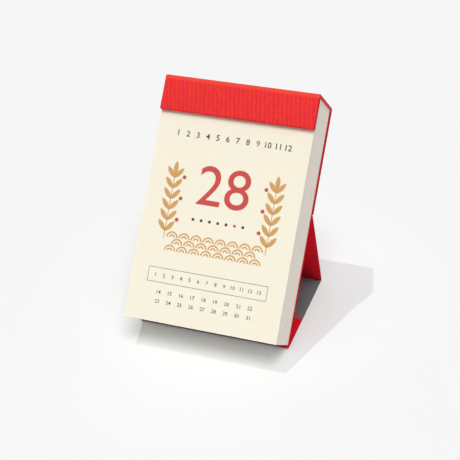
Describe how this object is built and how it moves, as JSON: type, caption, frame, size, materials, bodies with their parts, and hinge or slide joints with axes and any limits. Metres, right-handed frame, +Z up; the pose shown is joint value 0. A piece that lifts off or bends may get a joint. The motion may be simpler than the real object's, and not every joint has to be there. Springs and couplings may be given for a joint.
{
  "type": "tear-off day calendar",
  "caption": "Desk calendar: a thick block of tear-off day leaves under a cloth covered header, leaning back on a hinged fold-out leg.",
  "frame": {"origin": "middle of the base on the desk, under the middle of the whole calendar", "axes": "+Z up from the desk, +X to the right of someone reading the page, -Y towards the reader"},
  "size_m": [0.1, 0.1196, 0.152],
  "materials": {
    "red_cloth": "fine ribbed book cloth, matte",
    "red_paper": "uncoated lining paper",
    "grey_board": "raw grey board",
    "leaf_paper": "thin uncoated paper",
    "cover_paper": "cream uncoated paper",
    "backing_card": "raw card",
    "padding_glue": "dried padding glue",
    "mull": "open gauze",
    "dark_paper": "dark grey paper, matte"
  },
  "bodies": {
    "case": {"header_board": "grey_board", "spine_board": "grey_board", "upper_back_board": "grey_board", "carrier_board": "grey_board", "case_cloth": "red_cloth", "carrier_cloth": "red_cloth", "leg_hinge_strip": "red_cloth", "foot_hinge_strip": "red_cloth", "header_lining": "red_paper", "upper_back_lining": "red_paper", "carrier_lining": "dark_paper", "cover_stub": "cover_paper", "backing_card": "backing_card", "glue_film": "padding_glue", "mull_strip": "mull", "january_leaves": "leaf_paper", "february_leaves": "leaf_paper", "march_leaves": "leaf_paper", "april_leaves": "leaf_paper", "may_leaves": "leaf_paper", "june_leaves": "leaf_paper", "july_leaves": "leaf_paper", "august_leaves": "leaf_paper", "september_leaves": "leaf_paper", "october_leaves": "leaf_paper", "november_leaves": "leaf_paper", "december_leaves": "leaf_paper"},
    "leg": {"leg_board": "grey_board", "leg_cloth": "red_cloth", "stay_sheet": "dark_paper"},
    "flap": {"flap_board": "grey_board", "flap_cloth": "red_cloth"},
    "leaf": {"cover_leaf": "cover_paper"}
  },
  "joints": [
    {"name": "leg_fold", "type": "hinge", "parent": "case", "child": "leg", "pos_m": [0, 0.01919, 0.06935], "axis": [-1, 0, 0], "range_deg": [0, 58], "deforming": ["stay_sheet"]},
    {"name": "flap_fold", "type": "hinge", "parent": "case", "child": "flap", "pos_m": [0, -0.02738, 0.00075], "axis": [1, 0, 0], "range_deg": [0, 55]},
    {"name": "leaf_lift", "type": "hinge", "parent": "case", "child": "leaf", "pos_m": [0, 0.01359, 0.13144], "axis": [-1, 0, 0], "range_deg": [0, 100]}
  ],
  "couplings": [
    {"joint": "flap_fold", "follows": "leg_fold", "ratio": 0.94}
  ]
}
